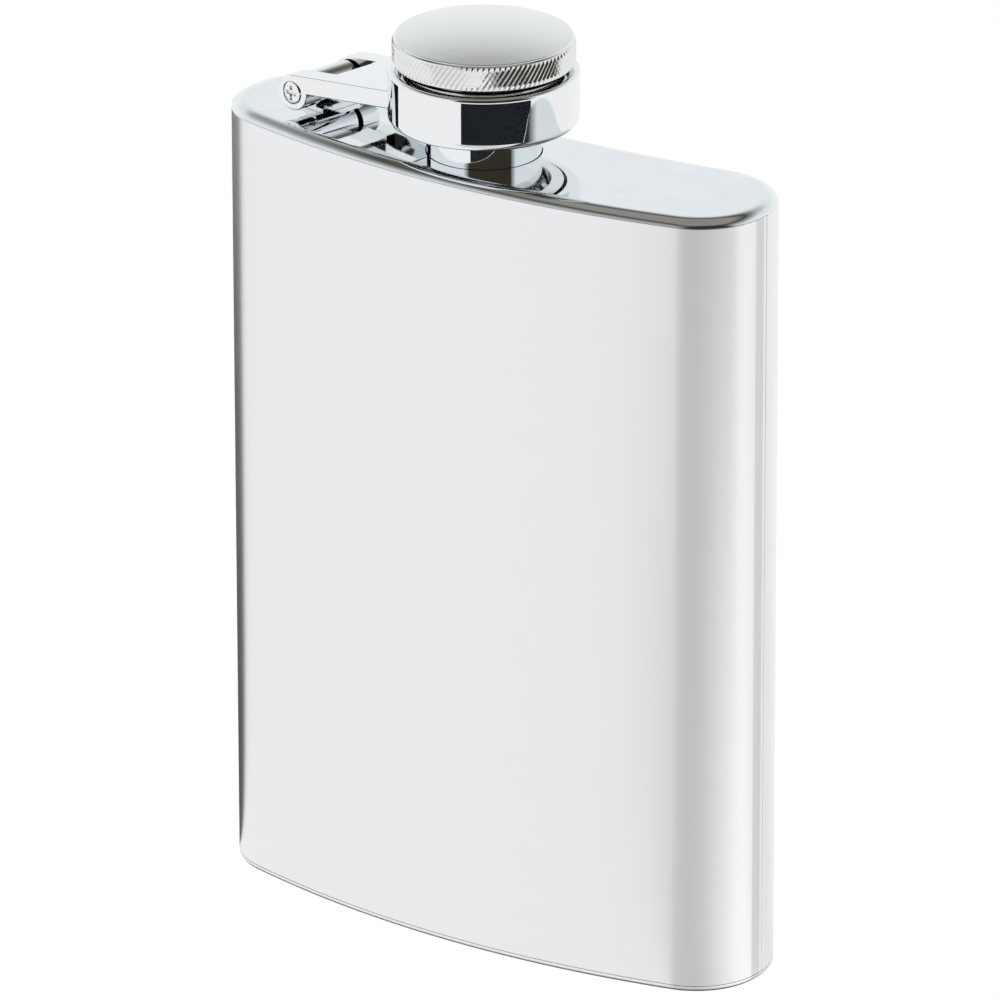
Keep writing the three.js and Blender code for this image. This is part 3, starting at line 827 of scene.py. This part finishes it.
def modelSleeve():
    piece = turnPiece("capSleeve", [(radius, deck + height) for radius, height in (
        (sleeve["skirt"], sleeve["bottom"]), (sleeve["radius"], sleeve["bottom"]),
        (sleeve["radius"], sleeve["grooveLow"]), (sleeve["groove"], sleeve["grooveLow"]),
        (sleeve["groove"], sleeve["grooveHigh"]), (sleeve["radius"], sleeve["grooveHigh"]),
        (sleeve["radius"], sleeve["flangeBottom"]), (sleeve["flange"], sleeve["flangeBottom"]),
        (sleeve["flange"], sleeve["top"]), (0, sleeve["top"]), (0, sleeve["ceiling"]),
        (sleeve["thread"], sleeve["ceiling"]), (sleeve["thread"], sleeve["threadBottom"]),
        (sleeve["skirt"], sleeve["threadBottom"] - sleeve["leadIn"]), (sleeve["skirt"], sleeve["bottom"]),
    )], 160)
    roundEdges(piece, sleeve["edge"])
    thread = helicalRidge(
        "sleeveThread", deck + sleeve["ridgeStart"], sleeve["turns"], sleeve["pitch"],
        sleeve["thread"] + 0.1, sleeve["ridgeCrest"], sleeve["ridgeFoot"], sleeve["ridgeTop"],
    )
    joinWith(piece, thread)
    finishPiece(piece, polished, "cap", "cap_sleeve")


def modelHead():
    low, high = head["bottom"] + knurl["lowMargin"], head["bandTop"] - knurl["highMargin"]
    root = head["radius"] - knurl["depth"]
    rowHeight = (high - low) / knurl["rows"]
    top = head["bandTop"] + head["edgeHeight"]
    domeRadius = head["radius"] - head["edgeInset"]
    profile = [(0, head["pocketTop"]), (head["pocket"], head["pocketTop"]), (head["pocket"], head["lipTop"]),
               (head["lip"], head["lipTop"]), (head["lip"], head["bottom"]),
               (root - head["bottomChamfer"], head["bottom"])]
    profile += [(root, low + row * rowHeight) for row in range(knurl["rows"] + 1)]
    rounding = head["edgeRound"]
    profile += [(domeRadius, head["bandTop"] + head["bandRound"]), (domeRadius, top - rounding),
                (domeRadius - rounding, top)]
    for step in range(1, head["domeSteps"]):
        share = 1 - step / head["domeSteps"]
        profile.append(((domeRadius - rounding) * share, top + head["dome"] * (1 - share ** 2)))
    profile.append((0, top + head["dome"]))
    piece = turnPiece("capHead", [(radius, deck + height) for radius, height in profile], knurl["columns"])

    # diamond knurl: every other point of the band is raised, then each field gets a point in its middle
    editAll(piece)
    column = math.tau / knurl["columns"]

    def raised(point):
        row = round((point.z - deck - low) / rowHeight)
        place = round(math.atan2(point.y, point.x) / column)
        onBand = 0 < row < knurl["rows"] and abs(point.xy.length - root) < 0.02
        return onBand and (row + place) % 2 == 1

    selectPoints(piece, raised)
    grow = head["radius"] / root
    bpy.ops.transform.resize(value=(grow, grow, 1), center_override=(0, 0, 0))

    def inField(middle, normal, parity):
        row = math.floor((middle.z - deck - low) / rowHeight)
        place = math.floor(math.atan2(middle.y, middle.x) / column)
        inBand = deck + low < middle.z < deck + high and middle.xy.length > root - 0.05
        return inBand and abs(normal.z) < 0.7 and (row + place) % 2 == parity

    # ridge fields rise a little, then the groove fields, which still have four corners, go down to the root
    selectFaces(piece, lambda middle, normal: inField(middle, normal, 1))
    bpy.ops.mesh.poke(offset=knurl["depth"] * knurl["ridge"] * mm)
    bpy.ops.object.mode_set(mode="OBJECT")
    for face in piece.data.polygons:
        face.select = len(face.vertices) == 4 and inField(face.center / mm, face.normal, 0)
    bpy.ops.object.mode_set(mode="EDIT")
    bpy.ops.mesh.poke(offset=-knurl["depth"] * knurl["groove"] * mm)
    bpy.ops.mesh.select_mode(type="VERT")
    closeUp()
    finishPiece(piece, turned, "cap", "cap_head", 22, False)
    piece.data.materials.append(polished)
    for face in piece.data.polygons:
        middle = face.center / mm
        onSide = middle.z < deck + head["bandTop"] + 0.02 and middle.xy.length > head["lip"] - 0.1
        face.material_index = 1 if onSide else 0


def modelGasket():
    low, high = gasket["bottom"], gasket["bottom"] + gasket["thickness"]
    bead, half, sink = gasket["bead"], gasket["beadWidth"] / 2, gasket["beadDepth"]
    piece = turnPiece("capGasket", [(radius, deck + height) for radius, height in (
        (0, low + sink), (bead - 2 * half, low + sink), (bead - half, low), (bead + half, low),
        (gasket["radius"], low + sink), (gasket["radius"], high), (0, high),
    )], 96)
    roundEdges(piece, 0.1)
    finishPiece(piece, silicone, "cap", "cap_gasket")


def modelClip():
    low, high = deck + clip["bottom"], deck + clip["bottom"] + clip["thickness"]
    piece = turnPiece("retainingClip", [
        (clip["inner"], low), (clip["outer"], low), (clip["outer"], high), (clip["inner"], high),
        (clip["inner"], low),
    ], 96)
    half = clip["split"] / 2
    cutWith(piece, makeBlock("split", 0, 20, -half, half, low - 1, high + 1))
    roundEdges(piece, clip["edge"])
    finishPiece(piece, spring, "cap_carrier", "retaining_clip")


modelSleeve()
print("sleeve made")
modelHead()
print("head made")
modelGasket()
modelClip()
print("gasket and clip made")


view = {"azimuth": 35.41, "elevation": 22.17, "roll": -0.108, "distance": 1488, "lens": 429.95,
        "aside": 1.303, "height": 56.4}
stage = {
    "floorSize": 6000, "floorGlow": 1.0, "cardHeight": 0.1, "gapHeight": 0.4,
    "wall": ["#ffffff", "#fafcfd", "#f2f5f6", "#e8ecee", "#a5a4a2", "#4f4b46", "#96938f", "#8b8885"],
    "wallPlaces": [0, 0.19, 0.26, 0.36, 0.48, 0.58, 0.7, 1],  # from the floor up to the roof
    "skyDark": "#3b352d", "openingTurn": 12, "openingRise": 0.25, "opening": (0.62, 0.76),
    "gapColour": "#1c2024", "gapInner": 278, "gapOuter": 345,  # how far off the dark strip lies
    "fanApex": (26.9, 20.7), "fanGlow": 1.25, "fanWarmth": 0.97,
    "fanFar": 262, "fanNear": 225, "fanTurn": 20,  # its reach to the left and right of this direction
    "fan": {-45: 0.58, -10: 0.585, 10: 0.65, 36: 0.83, 62: 0.95, 80: 0.93, 100: 0.77, 120: 0.7, 150: 0.8},
    "leftApex": (-26.7, -17.6), "leftReach": 420, "leftColour": "#131217",
    # painted shadow: colour, height and reach of the dark card round the flask's foot that stands in for the
    # shade on the floor
    "contactShadowHeight": 0.12, "contactShadowReach": 0.9, "contactShadowColour": "#4a4650",
}

azimuth, elevation = math.radians(view["azimuth"]), math.radians(view["elevation"])
across = Vector((math.cos(azimuth), math.sin(azimuth), 0))  # to the right, seen from the camera
nearer = Vector((math.sin(azimuth), -math.cos(azimuth), 0))  # towards the camera along the floor
back = nearer * math.cos(elevation) + Vector((0, 0, math.sin(elevation)))


def glowMaterial(name, colour, strength=1.0):
    material = bpy.data.materials.new(name)
    material.use_nodes = True
    tree = material.node_tree
    tree.nodes.clear()
    glow = addNode(tree, "ShaderNodeEmission", values={"Color": fromHex(colour), "Strength": strength})
    addNode(tree, "ShaderNodeOutputMaterial", links={"Surface": glow.outputs[0]})
    return material, tree, glow


def makeFloor():
    size = stage["floorSize"]
    floor = makeBlock("floor", -size / 2, size / 2, -size / 2, size / 2, -2, -0.02)
    floor.data.materials.append(glowMaterial("whiteSweep", "#ffffff", stage["floorGlow"])[0])


def makeCard(name, corners, height, material):
    # a card over the floor that only shows in reflections; corners are (right, nearer) pairs from the flask
    places = [across * right + nearer * near for right, near in corners]
    card = drawLine(name, [(place.x, place.y, height) for place in (*places, places[0])])
    bpy.ops.mesh.select_all(action="SELECT")
    bpy.ops.mesh.remove_doubles(threshold=weldDistance)
    bpy.ops.mesh.select_all(action="SELECT")
    bpy.ops.mesh.edge_face_add()
    bpy.ops.object.mode_set(mode="OBJECT")
    onlyReflected(card, material)


def onlyReflected(card, material):
    card.data.materials.append(material)
    card.visible_camera = False
    card.visible_diffuse = False
    card.visible_shadow = False


def makeContactShadowCard():  # painted shadow: a dark card round the flask's foot, seen only in reflections, stands in for the shade on the floor where the flask stands
    card = drawOutline("contactShadowCard", stage["contactShadowHeight"], 1)
    bpy.ops.mesh.inset(thickness=stage["contactShadowReach"] * mm, depth=0, use_outset=True)
    bpy.ops.object.mode_set(mode="OBJECT")
    onlyReflected(card, glowMaterial("paintedContactShadow", stage["contactShadowColour"])[0])


def polar(degrees, distance, centre=(0, 0)):  # right of the camera's direction, and out from a point
    return (centre[0] + distance * math.sin(math.radians(degrees)),
            centre[1] + distance * math.cos(math.radians(degrees)))


def fanMaterial():  # grey to white with the direction from the flask's right-hand corner
    material, tree, glow = glowMaterial("fan", "#ffffff", stage["fanGlow"])
    place = addNode(tree, "ShaderNodeTexCoord").outputs["Object"]
    apex = (across * stage["fanApex"][0] + nearer * stage["fanApex"][1]) * mm
    fromApex = addNode(tree, "ShaderNodeVectorMath", {"operation": "SUBTRACT"}, {1: apex}, {0: place})
    right = addNode(tree, "ShaderNodeVectorMath", {"operation": "DOT_PRODUCT"}, {1: across},
                    {0: fromApex.outputs[0]})
    near = addNode(tree, "ShaderNodeVectorMath", {"operation": "DOT_PRODUCT"}, {1: nearer},
                   {0: fromApex.outputs[0]})
    angle = addNode(tree, "ShaderNodeMath", {"operation": "ARCTAN2"},
                    links={0: right.outputs["Value"], 1: near.outputs["Value"]})
    first, last = min(stage["fan"]), max(stage["fan"])
    share = addNode(tree, "ShaderNodeMapRange",
                    values={"From Min": math.radians(first), "From Max": math.radians(last)},
                    links={"Value": angle.outputs[0]})
    shades = addNode(tree, "ShaderNodeValToRGB", links={"Fac": share.outputs[0]})
    ramp = shades.color_ramp
    for degrees, value in stage["fan"].items():
        if degrees == first:
            stop = ramp.elements[0]
        elif degrees == last:
            stop = ramp.elements[-1]
        else:
            stop = ramp.elements.new((degrees - first) / (last - first))
        stop.color = (value, value, value * stage["fanWarmth"], 1)
    tree.links.new(shades.outputs["Color"], glow.inputs["Color"])
    return material


def makeSky():
    world = bpy.data.worlds.new("lightTent")
    bpy.context.scene.world = world
    world.use_nodes = True
    tree = world.node_tree
    tree.nodes.clear()
    direction = addNode(tree, "ShaderNodeTexCoord").outputs["Generated"]
    axes = addNode(tree, "ShaderNodeSeparateXYZ", links={"Vector": direction})
    height = addNode(tree, "ShaderNodeMath", {"operation": "ARCSINE"}, links={0: axes.outputs["Z"]})
    # brightness falls from the white walls to the dim roof
    share = addNode(tree, "ShaderNodeMapRange", values={"From Min": 0.0, "From Max": math.radians(90)},
                    links={"Value": height.outputs[0]})
    walls = addNode(tree, "ShaderNodeValToRGB", links={"Fac": share.outputs[0]})
    ramp = walls.color_ramp
    stops = list(zip(stage["wallPlaces"], stage["wall"]))
    ramp.elements[0].color = fromHex(stops[0][1])
    ramp.elements[1].color = fromHex(stops[-1][1])
    ramp.elements[1].position = stops[-1][0]
    for position, colour in stops[1:-1]:
        ramp.elements.new(position).color = fromHex(colour)
    # the open side, where the camera stands, is dark above the floor
    right, near = polar(stage["openingTurn"], 1)
    openSide = (across * right + nearer * near + Vector((0, 0, stage["openingRise"]))).normalized()
    facing = addNode(tree, "ShaderNodeVectorMath", {"operation": "DOT_PRODUCT"}, {1: openSide},
                     {0: direction})
    opening = addNode(tree, "ShaderNodeMapRange",
                      values={"From Min": stage["opening"][0], "From Max": stage["opening"][1]},
                      links={"Value": facing.outputs["Value"]})
    sky = addNode(tree, "ShaderNodeMix", {"data_type": "RGBA"}, {"B": fromHex(stage["skyDark"])},
                  {"Factor": opening.outputs[0], "A": walls.outputs["Color"]})
    tent = addNode(tree, "ShaderNodeBackground", links={"Color": sky.outputs["Result"]})
    addNode(tree, "ShaderNodeOutputWorld", links={"Surface": tent.outputs[0]})


makeFloor()
fanOuter = [
    polar(degrees, stage["fanFar" if degrees < stage["fanTurn"] else "fanNear"], stage["fanApex"])
    for degrees in range(-45, 160, 10)
]
makeCard("fanCard", [stage["fanApex"], *fanOuter], stage["cardHeight"], fanMaterial())
gapInner = [polar(degrees, stage["gapInner"]) for degrees in range(-27, 58, 6)]
gapOuter = [polar(degrees, stage["gapOuter"]) for degrees in range(57, -28, -6)]
makeCard("gapCard", gapInner + gapOuter, stage["gapHeight"], glowMaterial("gap", stage["gapColour"])[0])
leftOuter = [polar(degrees, stage["leftReach"], stage["leftApex"]) for degrees in range(-122, -190, -12)]
makeCard("leftCard", [stage["leftApex"], *leftOuter], stage["cardHeight"],
         glowMaterial("leftDark", stage["leftColour"])[0])
# painted shadow on the floor round the flask's foot, seen only in reflections
makeContactShadowCard()
makeSky()

bpy.ops.object.camera_add()
camera = bpy.context.object
camera.name = "camera"
camera.data.lens = view["lens"]
camera.data.sensor_width = 36
camera.data.clip_start, camera.data.clip_end = 0.1, 20
target = (Vector((middleX, 0, view["height"])) + across * view["aside"]) * mm
camera.location = target + back * view["distance"] * mm
camera.rotation_mode = "QUATERNION"
camera.rotation_quaternion = back.to_track_quat("Z", "Y")
camera.rotation_quaternion = camera.rotation_quaternion @ Matrix.Rotation(
    math.radians(view["roll"]), 4, "Z").to_quaternion()
bpy.context.scene.camera = camera
bpy.context.scene.view_settings.view_transform = "Standard"
print("stage made")
